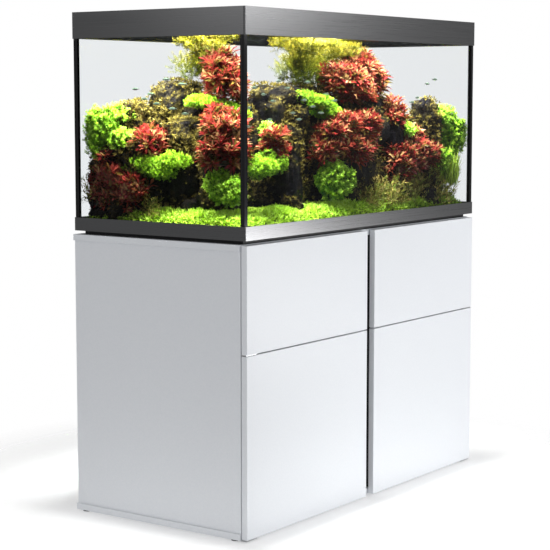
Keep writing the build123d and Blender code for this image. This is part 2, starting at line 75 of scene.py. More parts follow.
def add_node(tree, kind, **values):
    """A shader node with its inputs set; an underscore stands for the space in an input's name."""
    node = tree.nodes.new(kind)
    for name, value in values.items():
        node.inputs[name.replace("_", " ")].default_value = value
    return node


def math_value(tree, kind, value, *settings):
    """One sum on a value, with its other terms set."""
    node = tree.nodes.new("ShaderNodeMath")
    node.operation = kind
    tree.links.new(value, node.inputs[0])
    for socket, setting in zip(node.inputs[1:], settings):
        socket.default_value = setting
    return node.outputs["Value"]


def attribute_value(tree, name):
    """A number stored on the mesh."""
    node = tree.nodes.new("ShaderNodeAttribute")
    node.attribute_name = name
    return node.outputs["Fac"]


def empty_material(name):
    """A material without any shader: the material, its node tree and its output."""
    material = bpy.data.materials.new(name)
    material.use_nodes = True
    material.node_tree.nodes.clear()
    return material, material.node_tree, material.node_tree.nodes.new("ShaderNodeOutputMaterial")


def mix_shaders(tree, share, first, second):
    """Two shaders mixed by the second one's share, which is a number or a socket."""
    node = tree.nodes.new("ShaderNodeMixShader")
    if isinstance(share, float):
        node.inputs["Fac"].default_value = share
    else:
        tree.links.new(share, node.inputs["Fac"])
    tree.links.new(first, node.inputs[1])
    tree.links.new(second, node.inputs[2])
    return node.outputs["Shader"]


def ramp(tree, value, stops):
    """A colour ramp from (position, colour) stops."""
    node = tree.nodes.new("ShaderNodeValToRGB")
    elements = node.color_ramp.elements
    while len(elements) < len(stops):
        elements.new(0.5)
    for element, (position, colour) in zip(elements, stops):
        element.position = position
        element.color = (*colour, 1)
    tree.links.new(value, node.inputs["Fac"])
    return node.outputs["Color"]


def spread_roughness(tree, shader, value, low, high):
    """Roughness that wanders between two values."""
    node = add_node(tree, "ShaderNodeMapRange", From_Min=0.3, From_Max=0.7, To_Min=low, To_Max=high)
    tree.links.new(value, node.inputs["Value"])
    tree.links.new(node.outputs["Result"], shader.inputs["Roughness"])


def relief(tree, shader, value, strength, distance, edge=0.0):
    """Bumps from a height, over edges rounded by a radius."""
    bump = add_node(tree, "ShaderNodeBump", Strength=strength, Distance=distance)
    tree.links.new(value, bump.inputs["Height"])
    if edge:
        bevel = tree.nodes.new("ShaderNodeBevel")
        bevel.samples = 4
        bevel.inputs["Radius"].default_value = edge
        tree.links.new(bevel.outputs["Normal"], bump.inputs["Normal"])
    tree.links.new(bump.outputs["Normal"], shader.inputs["Normal"])


def plain(name, low, high, roughness, scale, metallic=0.0, stretch=(1, 1, 1), bump=0.1, depth=0.0002,
          edge=0.0004, specular=0.5):
    """A material whose colour, roughness and relief all wander a little."""
    material, tree, shader = shader_material(name, roughness[0], metallic, specular)
    value = noise_value(tree, scale, 4, stretch)
    colour = ramp(tree, value, ((0.3, low), (0.7, high)))
    tree.links.new(colour, shader.inputs["Base Color"])
    spread_roughness(tree, shader, value, *roughness)
    relief(tree, shader, noise_value(tree, scale * 3, 2, stretch), bump, depth, edge)
    return material


def dress(material, *names):
    """Gives CAD nodes one material each."""
    for name in names:
        nodes[name].data.materials.clear()
        nodes[name].data.materials.append(material)


def both(*names):
    """The left and the right node of each name."""
    return [f"{side}_{name}" for side in SIDES for name in names]


melamine = plain("melamine", (0.8, 0.825, 0.86), (0.83, 0.85, 0.88), (0.36, 0.44), 220, bump=0.12, depth=0.0001,
                 edge=0.0008)
dress(melamine, "base_panel", "top_panel", *both("side_panel", "partition", "shelf", "drawer_front", "door"))
hardboard = plain("hardboard", (0.5, 0.5, 0.49), (0.57, 0.57, 0.56), (0.5, 0.65), 90)
dress(hardboard, "back_panel")
drawer_foil = plain("drawer_foil", (0.72, 0.73, 0.74), (0.78, 0.79, 0.8), (0.4, 0.5), 140)
dress(drawer_foil, *both("drawer_sides", "drawer_back", "drawer_floor"))

# ---------------------------------------------------------------- hardware in the cabinet
# Zinc-plated pressed steel: runner sections, hinge brackets, leaves, cams, screws and lid pins. Plating leaves
# fine streaks along the strip. The grip channel, the glides and the plinth under the tank are black moulded
# plastic.
zinc = plain("zinc_steel", (0.5, 0.51, 0.52), (0.66, 0.67, 0.68), (0.24, 0.4), 60, metallic=1.0,
             stretch=(1, 0.1, 1), depth=0.0001)
dress(zinc, "cam_locks", "outer_rails", "pivot_brackets", "pivot_screws", "lid_pins",
      *both("middle_rails", "inner_rails", "pivot_leaves"))
black_plastic = plain("black_plastic", (0.012, 0.012, 0.013), (0.022, 0.022, 0.024), (0.42, 0.58), 180)
dress(black_plastic, "floor_glides", "grip_channel", "tank_plinth", "rear_cover", "lamp_brackets", *both("lid"))

# ---------------------------------------------------------------- base trim and hood trim
# One moulded frame each, finished like brushed dark metal. The brushing runs round the tank, so the frames turn
# from bright, where they mirror a lamp, to nearly black.
trim_metal, tree, shader = shader_material("trim_metal", 0.3, 1.0)
brushing = noise_value(tree, 160, 4, (0.02, 0.02, 6), 0.6)
tree.links.new(ramp(tree, brushing, ((0.25, (0.24, 0.24, 0.245)), (0.75, (0.27, 0.27, 0.275)))),
               shader.inputs["Base Color"])
spread_roughness(tree, shader, brushing, 0.26, 0.32)
relief(tree, shader, brushing, 0.012, 0.0001, 0.0008)
dress(trim_metal, "base_trim", "hood_trim")


# ---------------------------------------------------------------- glass
# Clear float glass, 8 mm, with black silicone behind the glued margins. Through the pane each margin reads as a
# black bar, so the glass turns black there. The rest lets everything behind it through and mirrors the room
# faintly.
def glass(name, axis, low, high):
    """Glass that is black outside two limits along an axis, where silicone backs it."""
    material, tree, output = empty_material(name)
    clear = add_node(tree, "ShaderNodeBsdfTransparent", Color=(0.955, 0.962, 0.966, 1))
    gloss = add_node(tree, "ShaderNodeBsdfGlossy", Color=(0.85, 0.85, 0.85, 1), Roughness=0.01)
    facing = add_node(tree, "ShaderNodeLayerWeight", Blend=0.5)
    grazing = math_value(tree, "POWER", facing.outputs["Facing"], 5)
    share = math_value(tree, "MULTIPLY_ADD", grazing, 0.6, 0.006)
    pane = mix_shaders(tree, share, clear.outputs["BSDF"], gloss.outputs["BSDF"])
    joint = add_node(tree, "ShaderNodeBsdfPrincipled", Base_Color=(0.006, 0.006, 0.007, 1), Roughness=0.12)
    place = tree.nodes.new("ShaderNodeTexCoord")
    split = tree.nodes.new("ShaderNodeSeparateXYZ")
    tree.links.new(place.outputs["Object"], split.inputs["Vector"])
    inside = math_value(tree, "COMPARE", split.outputs[axis], (low + high) / 2, (high - low) / 2)
    behind = mix_shaders(tree, inside, joint.outputs["BSDF"], pane)
    tree.links.new(behind, output.inputs["Surface"])
    return material


SEAM_X = 0.5505
SEAM_Y = (-0.2605, 0.2585)
dress(glass("glass_long", "X", -SEAM_X, SEAM_X), "front_pane", "back_pane")
dress(glass("glass_end", "Y", *SEAM_Y), *both("pane"))
dress(glass("glass_flat", "Z", 0, 2), "bottom_pane", "centre_brace")
silicone = plain("silicone", (0.008, 0.008, 0.009), (0.014, 0.014, 0.015), (0.3, 0.45), 120, bump=0.2)
dress(silicone, "silicone_seams")

# ---------------------------------------------------------------- lamp
# An anodised aluminium extrusion with an opal diffuser, hung under the hood's ledge by its two end brackets.
dress(plain("anodised", (0.6, 0.61, 0.62), (0.68, 0.69, 0.7), (0.3, 0.42), 60, metallic=1.0,
            stretch=(0.05, 1, 1)),
      "lamp_housing")
opal, tree, shader = shader_material("opal", 0.35)
tree.links.new(ramp(tree, noise_value(tree, 40), ((0.3, (0.86, 0.88, 0.9)), (0.7, (0.92, 0.94, 0.95)))),
               shader.inputs["Base Color"])
shader.inputs["Emission Color"].default_value = (0.93, 0.97, 1.0, 1)
shader.inputs["Emission Strength"].default_value = 1.5
relief(tree, shader, noise_value(tree, 300), 0.1, 0.0001)
dress(opal, "lamp_diffuser")


# ---------------------------------------------------------------- substrate
# Fine brown soil granules, low along the glass and banked up inside. The bed is one mesh: a gently uneven top
# on straight sides that stop short of the glass.
FLOOR_Z = 0.756
BED_X = 0.549
BED_Y = (-0.26, 0.258)
SOIL_AT_GLASS = 0.7605
BANK_WIDTH, BANK_RISE = 0.07, 0.026
SWELL = 0.01


def ground_height(x, y):
    """Height of the soil: low along the panes, then rising in soft mounds."""
    inside = min(BED_X - abs(x), y - BED_Y[0], BED_Y[1] - y)
    bank = min(1.0, max(0.0, inside) / BANK_WIDTH)
    swell = noise.noise(Vector((x * 7, y * 7, 3.1)))
    return SOIL_AT_GLASS + BANK_RISE * bank * (2 - bank) + SWELL * swell * bank


def finish_mesh(name, data, material, smooth=True):
    """Turns bmesh data into a linked object at the origin, with its material."""
    mesh = bpy.data.meshes.new(name)
    data.to_mesh(mesh)
    data.free()
    mesh.polygons.foreach_set("use_smooth", [smooth] * len(mesh.polygons))
    piece = bpy.data.objects.new(name, mesh)
    bpy.context.scene.collection.objects.link(piece)
    mesh.materials.append(material)
    return piece


def ground_grid(columns, rows, lift):
    """A grid over the bed at the soil's height plus a lift."""
    data = bmesh.new()
    grid = []
    for j in range(rows + 1):
        y = BED_Y[0] + (BED_Y[1] - BED_Y[0]) * j / rows
        line = []
        for i in range(columns + 1):
            x = -BED_X + 2 * BED_X * i / columns
            line.append(data.verts.new((x, y, ground_height(x, y) + lift)))
        grid.append(line)
    for j in range(rows):
        for i in range(columns):
            data.faces.new((grid[j][i], grid[j][i + 1], grid[j + 1][i + 1], grid[j + 1][i]))
    return data


soil = plain("soil", (0.012, 0.012, 0.006), (0.05, 0.05, 0.018), (0.75, 0.95), 420, bump=0.9, depth=0.0015,
             edge=0)
data = ground_grid(120, 60, 0)
rim = [edge for edge in data.edges if edge.is_boundary]
walls = bmesh.ops.extrude_edge_only(data, edges=rim)["geom"]
for vert in walls:
    if isinstance(vert, bmesh.types.BMVert):
        vert.co.z = FLOOR_Z
bmesh.ops.contextual_create(data, geom=[edge for edge in data.edges if edge.is_boundary])
bmesh.ops.recalc_face_normals(data, faces=data.faces)
substrate = finish_mesh("substrate", data, soil, smooth=False)
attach(substrate, ROOT)
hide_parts("gravel_bed")

# ---------------------------------------------------------------- rocks
# Dark weathered stone stacked into two banks with a cave between them, cracked and pitted. Each rock is a block
# with broken faces; smaller stones are wedged between the large ones and at the foot.
BIG_ROCKS = (
    # x, y, top, half length, half width, turn
    (-0.36, 0.095, 1.128, 0.07, 0.074, 10),
    (-0.452, 0.165, 1.075, 0.04, 0.044, 40),
    (-0.185, -0.095, 1.118, 0.084, 0.07, -12),
    (-0.412, 0.02, 1.03, 0.054, 0.06, 25),
    (0.225, -0.115, 1.098, 0.08, 0.064, 20),
    (0.425, -0.19, 1.082, 0.042, 0.038, -30),
    (0.02, -0.045, 1.118, 0.1, 0.07, 8),
    (-0.285, -0.05, 1.06, 0.076, 0.07, -20),
    (-0.215, -0.15, 1.015, 0.038, 0.038, 15),
    (-0.425, -0.095, 1.03, 0.05, 0.056, 70),
    (0.09, -0.15, 0.95, 0.11, 0.058, -6),
    (0.32, -0.155, 0.94, 0.1, 0.06, 12),
    (-0.452, 0.12, 0.985, 0.064, 0.076, 55),
    (-0.508, 0.232, 0.93, 0.034, 0.024, 5),
    (0.475, -0.11, 0.905, 0.056, 0.066, 40),
    (0.14, 0.06, 1.07, 0.12, 0.08, 30),
    (-0.24, 0.11, 1.085, 0.08, 0.07, 0),
    (0.099, -0.1, 1.085, 0.056, 0.04, 0),
    (0.258, -0.178, 1.04, 0.046, 0.034, 60),
    (-0.505, 0.205, 0.955, 0.036, 0.04, 20),
)


def rock(data, place, seed, levels=4):
    """Adds one rock: a ball pulled square, flattened on top, cut by broken faces and roughened."""
    x, y, low, high, length, width, turn = place
    middle, rise = (low + high) / 2, (high - low) / 2
    made = bmesh.ops.create_icosphere(data, subdivisions=levels, radius=1.0)["verts"]
    spin = Matrix.Rotation(math.radians(turn), 3, "Z")
    for vert in made:
        way = vert.co.normalized()
        level = math.copysign(abs(way.z) ** 0.6, way.z)
        girth = (1 - abs(way.z) ** 4) ** 0.3
        flat = Vector((way.x, way.y)).normalized() if girth > 0 else Vector((0, 0))
        tall = Vector((flat.x * girth, flat.y * girth, level * rise / length))
        cells = noise.voronoi(tall * 1.6 + Vector((seed, seed * 2, 0)))[0]
        block = 0.74 + 0.52 * min(0.6, cells[1] - cells[0])
        coarse = 0.2 * noise.fractal(tall * 2.1 + Vector((seed * 3.7, 0, 0)), 1.0, 2.0, 4)
        fine = 0.11 * noise.fractal(tall * 8 + Vector((0, seed, 0)), 0.6, 2.1, 5)
        pull = block + coarse + fine
        point = spin @ Vector((flat.x * length, flat.y * width, 0)) * girth * pull
        vert.co = (x + point.x, y + point.y, middle + level * rise * min(1.0, 0.8 + 0.22 * pull))


# Bare stone is near black and moss olive-brown; the mask that mixes them follows each face's tilt, so overhangs
# and the cave stay near black: partly bare stone, partly painted shade.
rock_skin, tree, shader = shader_material("rock_skin", 0.85, specular=0.25)
pits = noise_value(tree, 30, 8, rough=0.68)
stone = ramp(tree, pits, ((0.36, (0.002, 0.002, 0.004)), (0.52, (0.006, 0.006, 0.008)),
                          (0.64, (0.02, 0.017, 0.012)), (0.78, (0.065, 0.055, 0.034))))
growth = noise_value(tree, 62, 7, rough=0.7)
film = ramp(tree, growth, ((0.4, (0.002, 0.002, 0.003)), (0.49, (0.016, 0.013, 0.004)),
                           (0.57, (0.065, 0.05, 0.01)), (0.7, (0.2, 0.17, 0.04))))
coat = tree.nodes.new("ShaderNodeMix")
coat.data_type = "RGBA"
tree.links.new(attribute_value(tree, "moss_and_painted_shade"), coat.inputs["Factor"])
tree.links.new(stone, coat.inputs["A"])
tree.links.new(film, coat.inputs["B"])
tree.links.new(coat.outputs["Result"], shader.inputs["Base Color"])
spread_roughness(tree, shader, pits, 0.7, 0.95)
relief(tree, shader, growth, 1.0, 0.02)


def own_number(mesh, name, values):
    """Writes one number for each vertex of a mesh."""
    layer = mesh.attributes.get(name) or mesh.attributes.new(name, "FLOAT", "POINT")
    layer.data.foreach_set("value", values)


data = bmesh.new()
for number, (x, y, top, length, width, turn) in enumerate(BIG_ROCKS):
    rock(data, (x, y, 0.762, top, length * 1.15, width * 1.15, turn), number + 1)
wedge = random.Random(11)
for number in range(34):
    x, y, top, length, width, turn = BIG_ROCKS[number % len(BIG_ROCKS)]
    angle = wedge.uniform(0, 2 * math.pi)
    size = wedge.uniform(0.02, 0.042)
    level = wedge.choice((0.8, 0.83, 0.9, 0.96, 1.0))
    px = max(-0.5, min(0.5, x + length * 1.05 * math.cos(angle)))
    py = max(-0.215, min(0.22, y + width * 1.05 * math.sin(angle)))
    rock(data, (px, py, level - size, level + size * 0.8, size * 1.3, size, wedge.uniform(0, 180)),
         number + 31, 3)
rock_stack = finish_mesh("rock_stack", data, rock_skin)
# The mask grows with a face's upward tilt: real moss on the ledges, and painted shade that leaves steep and
# downward faces near black.
moss_and_shade_cover = []
for vert in rock_stack.data.vertices:
    patch = noise.fractal(vert.co * 11, 1, 2, 3)
    moss_and_shade_cover.append(max(0.0, min(1.0, 0.38 + 0.8 * vert.normal.z + 1.5 * patch)))
own_number(rock_stack.data, "moss_and_painted_shade", moss_and_shade_cover)
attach(rock_stack, ROOT)
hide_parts("rocks")


# ---------------------------------------------------------------- carpet plants
# A low carpet of fine upright leaves that covers the soil, bright green at the tips and darker low down in
# painted shade. Every plant in the
# tank is made the same way: a sprig is modelled once, scattered over a surface, and the result is kept as one
# plain mesh.
def sprig(name, height, rings, per_ring, leaf_length, leaf_width, rise, seed, stem=0.0008, taper=0.35,
          fold=False):
    """One sprig: a thin three-sided stem with rings of leaves, flat or folded along the middle, and a number
    for each point that says how far up the sprig it lies."""
    rng = random.Random(seed)
    data = bmesh.new()
    tip_layer = data.verts.layers.float.new("tip")

    def point(place, share):
        vert = data.verts.new(place)
        vert[tip_layer] = share
        return vert

    if stem:
        base = [point((stem * math.cos(a), stem * math.sin(a), 0), 0) for a in (0, 2.09, 4.19)]
        top = [point((stem * 0.5 * math.cos(a), stem * 0.5 * math.sin(a), height), 1) for a in (0, 2.09, 4.19)]
        for i in range(3):
            data.faces.new((base[i], base[(i + 1) % 3], top[(i + 1) % 3], top[i]))
    for ring in range(rings):
        share = (ring + 0.5) / rings
        size = 1 - taper * share
        for k in range(per_ring):
            angle = 2 * math.pi * (k / per_ring) + ring * 1.3 + rng.uniform(-0.3, 0.3)
            lift = rise + rng.uniform(-0.2, 0.2) + 0.5 * share
            length, width = leaf_length * size * rng.uniform(0.75, 1.2), leaf_width * size
            leaf_share = max(0.0, min(1.0, share + rng.uniform(-0.35, 0.35)))
            out = Vector((math.cos(angle), math.sin(angle), 0))
            side = Vector((-out.y, out.x, 0)) * width / 2
            along = out * math.cos(lift) + Vector((0, 0, math.sin(lift)))
            root = Vector((0, 0, height * share))
            middle = root + along * length * 0.45
            end = root + along * length - Vector((0, 0, length * 0.16))
            edge_lift = Vector((0, 0, width * (0.3 if fold else 0.15)))
            left, right = middle + side + edge_lift, middle - side + edge_lift
            if fold:
                places = (root, middle, left, right, end)
                start, spine, left, right, end = (point(place, leaf_share) for place in places)
                for corners in ((start, spine, left), (start, right, spine), (spine, end, left),
                                (spine, right, end)):
                    data.faces.new(corners)
            else:
                data.faces.new([point(p, leaf_share) for p in (root, right, end, left)])
    mesh = bpy.data.meshes.new(name)
    data.to_mesh(mesh)
    data.free()
    mesh.polygons.foreach_set("use_smooth", [not fold] * len(mesh.polygons))
    piece = bpy.data.objects.new(name, mesh)
    bpy.context.scene.collection.objects.link(piece)
    return piece


def scatter_tree():
    """Scatters one sprig over a surface. The surface's own numbers say where it grows densely (cover) and how
    tall (grow); each sprig gets one random number of its own (tone)."""
    tree = bpy.data.node_groups.new("scatter", "GeometryNodeTree")
    face = tree.interface
    face.new_socket("Geometry", in_out="INPUT", socket_type="NodeSocketGeometry")
    face.new_socket("Sprig", in_out="INPUT", socket_type="NodeSocketObject")
    face.new_socket("Material", in_out="INPUT", socket_type="NodeSocketMaterial")
    for name in ("Density", "Smallest", "Largest", "Outward", "Scatter"):
        face.new_socket(name, in_out="INPUT", socket_type="NodeSocketFloat")
    face.new_socket("Seed", in_out="INPUT", socket_type="NodeSocketInt")
    face.new_socket("Geometry", in_out="OUTPUT", socket_type="NodeSocketGeometry")
    add, link = tree.nodes.new, tree.links.new
    source = add("NodeGroupInput").outputs
    result = add("NodeGroupOutput")

    def own(name):
        node = add("GeometryNodeInputNamedAttribute")
        node.data_type = "FLOAT"
        node.inputs["Name"].default_value = name
        return node.outputs["Attribute"]

    def math_node(kind, a, b):
        node = add("ShaderNodeMath")
        node.operation = kind
        for socket, value in ((node.inputs[0], a), (node.inputs[1], b)):
            if isinstance(value, (int, float)):
                socket.default_value = value
            else:
                link(value, socket)
        return node.outputs[0]

    def random_value(kind, low, high, shift):
        node = add("FunctionNodeRandomValue")
        node.data_type = kind
        pair = (0, 1) if kind == "FLOAT_VECTOR" else (2, 3)
        for index, value in zip(pair, (low, high)):
            if isinstance(value, (tuple, int, float)):
                node.inputs[index].default_value = value
            else:
                link(value, node.inputs[index])
        link(math_node("ADD", source["Seed"], shift), node.inputs["Seed"])
        return node.outputs[0 if kind == "FLOAT_VECTOR" else 1]

    def vector_math(kind, a, b, scale=None):
        node = add("ShaderNodeVectorMath")
        node.operation = kind
        for socket, value in ((node.inputs[0], a), (node.inputs[1], b)):
            if value is None:
                continue
            if isinstance(value, tuple):
                socket.default_value = value
            else:
                link(value, socket)
        if scale is not None:
            link(scale, node.inputs["Scale"])
        return node.outputs[0]

    points = add("GeometryNodeDistributePointsOnFaces")
    link(source["Geometry"], points.inputs["Mesh"])
    link(math_node("MULTIPLY", source["Density"], own("cover")), points.inputs["Density"])
    link(source["Seed"], points.inputs["Seed"])
    outward = vector_math("SCALE", points.outputs["Normal"], None, source["Outward"])
    upward = vector_math("ADD", outward, (0, 0, 1))
    loose = vector_math("SCALE", random_value("FLOAT_VECTOR", (-1, -1, -1), (1, 1, 1), 1), None,
                        source["Scatter"])
    align = add("FunctionNodeAlignRotationToVector")
    align.axis = "Z"
    link(vector_math("ADD", upward, loose), align.inputs["Vector"])
    turn = add("ShaderNodeCombineXYZ")
    link(random_value("FLOAT", 0.0, 2 * math.pi, 2), turn.inputs["Z"])
    spin = add("FunctionNodeRotateRotation")
    spin.rotation_space = "LOCAL"
    link(align.outputs["Rotation"], spin.inputs["Rotation"])
    euler = add("FunctionNodeEulerToRotation")
    link(turn.outputs["Vector"], euler.inputs["Euler"])
    link(euler.outputs["Rotation"], spin.inputs["Rotate By"])
    place = add("GeometryNodeInstanceOnPoints")
    link(points.outputs["Points"], place.inputs["Points"])
    model = add("GeometryNodeObjectInfo")
    link(source["Sprig"], model.inputs["Object"])
    link(model.outputs["Geometry"], place.inputs["Instance"])
    link(spin.outputs["Rotation"], place.inputs["Rotation"])
    size = random_value("FLOAT", source["Smallest"], source["Largest"], 3)
    link(math_node("MULTIPLY", size, own("grow")), place.inputs["Scale"])
    tone = add("GeometryNodeStoreNamedAttribute")
    tone.domain = "INSTANCE"
    tone.inputs["Name"].default_value = "tone"
    link(place.outputs["Instances"], tone.inputs["Geometry"])
    link(random_value("FLOAT", 0.0, 1.0, 4), tone.inputs["Value"])
    real = add("GeometryNodeRealizeInstances")
    link(tone.outputs["Geometry"], real.inputs["Geometry"])
    painted = add("GeometryNodeSetMaterial")
    link(real.outputs["Geometry"], painted.inputs["Geometry"])
    link(source["Material"], painted.inputs["Material"])
    link(painted.outputs["Geometry"], result.inputs["Geometry"])
    return tree


scatter = scatter_tree()


def plant(surface, model, material, count, sizes, outward, loose, seed):
    """Scatters about this many sprigs over a surface object and returns them as one mesh."""
    area = sum(face.area for face in surface.data.polygons)
    modifier = surface.modifiers.new("scatter", "NODES")
    modifier.node_group = scatter
    wanted = {"Sprig": model, "Material": material, "Density": count / area, "Smallest": sizes[0],
              "Largest": sizes[1], "Outward": outward, "Scatter": loose, "Seed": seed}
    for item in scatter.interface.items_tree:
        if item.in_out == "INPUT" and item.name in wanted:
            modifier[item.identifier] = wanted[item.name]
    depsgraph = bpy.context.evaluated_depsgraph_get()
    mesh = bpy.data.meshes.new_from_object(surface.evaluated_get(depsgraph), depsgraph=depsgraph,
                                           preserve_all_data_layers=True)
    surface.modifiers.clear()
    return mesh


WATER_BOX = ((-0.553, 0.553), (-0.264, 0.262), (0.756, 1.2352))  # inside the panes and under the surface


def gather(name, meshes, drop):
    """Joins meshes into one object at the origin, bends what would pierce a pane or the water's surface back
    against it, and removes the objects that only served to make them."""
    data = bmesh.new()
    for mesh in meshes:
        data.from_mesh(mesh)
    for vert in data.verts:
        vert.co = [min(high, max(low, value)) for value, (low, high) in zip(vert.co, WATER_BOX)]
    material = [m for mesh in meshes for m in mesh.materials if m]
    joined = bpy.data.meshes.new(name)
    data.to_mesh(joined)
    data.free()
    joined.materials.append(material[0])
    joined.polygons.foreach_set("material_index", [0] * len(joined.polygons))
    joined.polygons.foreach_set("use_smooth", [True] * len(joined.polygons))
    for used in drop:
        if used.name in bpy.data.objects:
            bpy.data.objects.remove(used)
    piece = bpy.data.objects.new(name, joined)
    bpy.context.scene.collection.objects.link(piece)
    return piece


def leaf_material(name, colours, roughness=0.45, glow=0.3):
    """Leaves: dark low down and bright at the tip of each sprig, the dark low down being painted shade, mixed
    with each sprig's and leaf's own random tone; some light passes through. The colours run evenly from the
    darkest to the brightest."""
    material, tree, shader = shader_material(name, roughness)
    # Painted shade: the height up the sprig (tip) darkens the lower leaves; it is mixed evenly with each
    # sprig's random tone.
    blend = tree.nodes.new("ShaderNodeMix")
    blend.inputs["Factor"].default_value = 0.5
    tree.links.new(attribute_value(tree, "tone"), blend.inputs["A"])
    tree.links.new(attribute_value(tree, "tip"), blend.inputs["B"])
    step = 0.76 / (len(colours) - 1)
    colour = ramp(tree, blend.outputs["Result"], [(0.12 + step * i, shade) for i, shade in enumerate(colours)])
    tree.links.new(colour, shader.inputs["Base Color"])
    veins = noise_value(tree, 500, 2)
    spread_roughness(tree, shader, veins, roughness - 0.08, roughness + 0.12)
    through = tree.nodes.new("ShaderNodeBsdfTranslucent")
    tree.links.new(colour, through.inputs["Color"])
    leaf = mix_shaders(tree, glow, shader.outputs["BSDF"], through.outputs["BSDF"])
    tree.links.new(leaf, tree.nodes["Material Output"].inputs["Surface"])
    return material


carpet_leaf = leaf_material("carpet_leaf", ((0.1, 0.22, 0.008), (0.36, 0.6, 0.026), (0.62, 0.86, 0.14)))
data = ground_grid(90, 44, 0.001)
lawn_bed = finish_mesh("lawn_bed", data, carpet_leaf)
lawn_cover = []
lawn_growth = []
for vert in lawn_bed.data.vertices:
    inside = min(BED_X - abs(vert.co.x), vert.co.y - BED_Y[0], BED_Y[1] - vert.co.y)
    lawn_cover.append(1.0 if inside < 0.16 else 0.2)
    lawn_growth.append((0.55 + 0.55 * min(1, inside / 0.03)) * (1 + 0.35 * noise.noise(vert.co * 14)))
own_number(lawn_bed.data, "cover", lawn_cover)
own_number(lawn_bed.data, "grow", lawn_growth)
tuft = sprig("tuft", 0.01, 2, 4, 0.013, 0.003, 0.75, 3, stem=0)
carpet = plant(lawn_bed, tuft, carpet_leaf, 13500, (0.8, 1.35), 0.3, 0.5, 21)
carpet_plants = gather("carpet_plants", [carpet], [lawn_bed, tuft])
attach(carpet_plants, ROOT)
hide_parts("lawn")


# ---------------------------------------------------------------- moss on the rocks
# Short olive-brown moss that grows on the ledges and shoulders of the rocks and leaves their steep flanks bare.
def lump_surface(name, clumps, seed, parts=7, shells=(1.0,)):
    """Surfaces to scatter leaves over. Each clump (x, y, z, and its half sizes) is broken into smaller uneven
    balls, so that its outline is ragged."""
    rng = random.Random(seed)
    data = bmesh.new()
    for number, (x, y, z, rx, ry, rz) in enumerate(clumps):
        for part in range(parts):
            way = Vector((rng.gauss(0, 1), rng.gauss(0, 1), rng.gauss(0, 1))).normalized()
            way *= rng.uniform(0.45, 0.75)
            share = rng.uniform(0.4, 0.6)
            centre = Vector((x + way.x * rx, y + way.y * ry, z + way.z * rz))
            for shell in shells:
                made = bmesh.ops.create_icosphere(data, subdivisions=2, radius=1.0)["verts"]
                for vert in made:
                    way = vert.co.normalized()
                    bulge = noise.fractal(way * 2.2 + Vector((number * 5.3 + part, 0, 0)), 1, 2, 3)
                    reach = share * shell * (1 + 0.22 * bulge)
                    vert.co = centre + Vector((way.x * rx, way.y * ry, way.z * rz)) * reach
    piece = finish_mesh(name, data, carpet_leaf)
    count = len(piece.data.vertices)
    own_number(piece.data, "cover", [1.0] * count)
    own_number(piece.data, "grow", [1.0] * count)
    return piece


moss_leaf = leaf_material("moss_leaf", ((0.018, 0.015, 0.004), (0.085, 0.066, 0.012), (0.24, 0.2, 0.045)), 0.6)
moss_tuft = sprig("moss_tuft", 0.005, 1, 4, 0.0115, 0.0038, 0.7, 5, stem=0)
for side, sign in (("left", -1), ("right", 1)):
    moss_bed = bpy.data.objects.new("moss_bed", rock_stack.data.copy())
    bpy.context.scene.collection.objects.link(moss_bed)
    cover = [c * (sign * v.co.x > sign * -0.13) for c, v in zip(moss_and_shade_cover, moss_bed.data.vertices)]
    own_number(moss_bed.data, "cover", cover)
    own_number(moss_bed.data, "grow", [0.6 + 0.4 * c for c in cover])
    moss = gather(f"rock_moss_{side}", [plant(moss_bed, moss_tuft, moss_leaf, 36000, (0.7, 1.5), 1.2, 0.6, 31)],
                  [moss_bed])
    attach(moss, ROOT)
bpy.data.objects.remove(moss_tuft)

# ---------------------------------------------------------------- stem plants
# Fine-leaved yellow stems in two clouds on top of the banks, up to the surface of the water: green and dark low
# down, yellow at the top. The green is the stems' own colour; the darkening low down is painted shade for the
# little light that comes there.
STEM_FOOT, STEM_TOP = 1.07, 1.225
yellow_leaf = leaf_material("yellow_leaf", ((0.07, 0.08, 0.004), (0.2, 0.18, 0.01), (0.4, 0.33, 0.035)), 0.5,
                            0.4)
tree = yellow_leaf.node_tree
shader = tree.nodes["Principled BSDF"]
own_colour = shader.inputs["Base Color"].links[0].from_socket
place = tree.nodes.new("ShaderNodeTexCoord")
split = tree.nodes.new("ShaderNodeSeparateXYZ")
tree.links.new(place.outputs["Object"], split.inputs["Vector"])
rise = add_node(tree, "ShaderNodeMapRange", From_Min=STEM_FOOT, From_Max=STEM_TOP)
tree.links.new(split.outputs["Z"], rise.inputs["Value"])
